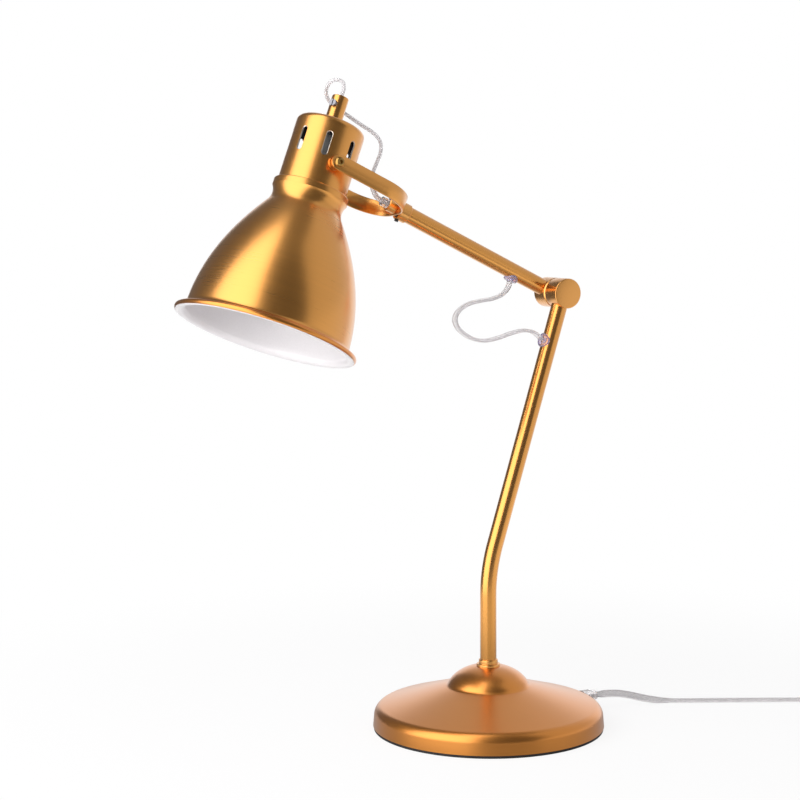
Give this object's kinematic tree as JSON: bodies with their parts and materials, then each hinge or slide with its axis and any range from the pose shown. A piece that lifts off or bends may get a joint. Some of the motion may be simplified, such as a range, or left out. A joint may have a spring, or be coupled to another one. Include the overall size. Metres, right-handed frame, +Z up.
{
  "type": "desk lamp",
  "caption": "Desk lamp with a bell-shaped shade on a yoke, a jointed tubular arm and post, a round weighted base and a flat clear flex.",
  "frame": {"origin": "middle of the base's underside", "axes": "+Z up, the arm swings in the XZ plane with the head towards -X, the flex leaves the base at +X"},
  "size_m": [0.6138, 0.17, 0.4729],
  "materials": {
    "brushed_brass": "satin brushed",
    "plated_steel": "satin",
    "clear_flex": "clear, glossy",
    "tinted_grommet": "clear, violet tint",
    "white_plastic": "matt",
    "black_rubber": "matt",
    "cast_iron": "rough",
    "fibre": "matt",
    "black_plastic": "satin",
    "black_steel": "black oxide",
    "yellow_brass": "polished",
    "bulb_glass": "opal"
  },
  "bodies": {
    "stand": {"base_pad": "black_rubber", "base_shell": "brushed_brass", "base_weight": "cast_iron", "weight_washer": "plated_steel", "weight_nut": "plated_steel", "post_nut": "plated_steel", "post_collar": "brushed_brass", "post_nipple": "plated_steel", "post_tube": "brushed_brass", "post_grommet": "tinted_grommet", "post_lead": "clear_flex", "elbow_front": "brushed_brass", "friction_washer": "fibre", "elbow_screw": "plated_steel", "elbow_spring_washer": "plated_steel", "cord_gland": "clear_flex", "mains_cord": "clear_flex", "mains_coil": "clear_flex", "mains_tail": "clear_flex", "plug_body": "black_plastic", "plug_pins": "plated_steel", "elbow_cord": "clear_flex"},
    "arm": {"elbow_back": "brushed_brass", "arm_tube": "brushed_brass", "arm_grommet": "tinted_grommet", "arm_lead": "clear_flex", "swivel_ferrule": "brushed_brass", "ferrule_screw": "black_steel"},
    "yoke": {"yoke_strap": "brushed_brass", "swivel_bolt": "brushed_brass", "swivel_washer": "black_plastic", "flex_sleeve": "clear_flex", "head_cord": "clear_flex"},
    "head": {"cup": "brushed_brass", "stem_tube": "brushed_brass", "stem_screw": "plated_steel", "stem_nipple": "plated_steel", "stem_nut": "plated_steel", "pivot_spacers": "brushed_brass", "pivot_screws": "yellow_brass", "pivot_nuts": "plated_steel", "shade": "brushed_brass", "shade_clamp": "white_plastic", "holder_body": "white_plastic", "holder_insert": "white_plastic", "holder_contacts": "yellow_brass", "bulb_cap": "plated_steel", "bulb_glass": "bulb_glass"}
  },
  "joints": [
    {"name": "elbow_tilt", "type": "hinge", "parent": "stand", "child": "arm", "pos_m": [0.0633, 0.0155, 0.318], "axis": [0, 1, 0], "range_deg": [-40, 35], "deforming": ["elbow_cord"]},
    {"name": "yoke_swivel", "type": "hinge", "parent": "arm", "child": "yoke", "pos_m": [-0.06613, 0.0155, 0.38112], "axis": [-0.8988, 0, 0.4384], "range_deg": [-80, 80]},
    {"name": "head_tilt", "type": "hinge", "parent": "yoke", "child": "head", "pos_m": [-0.12635, 0.0155, 0.4105], "axis": [-0.0458, 0.9945, -0.0939], "range_deg": [-25, 50], "deforming": ["head_cord"]}
  ]
}
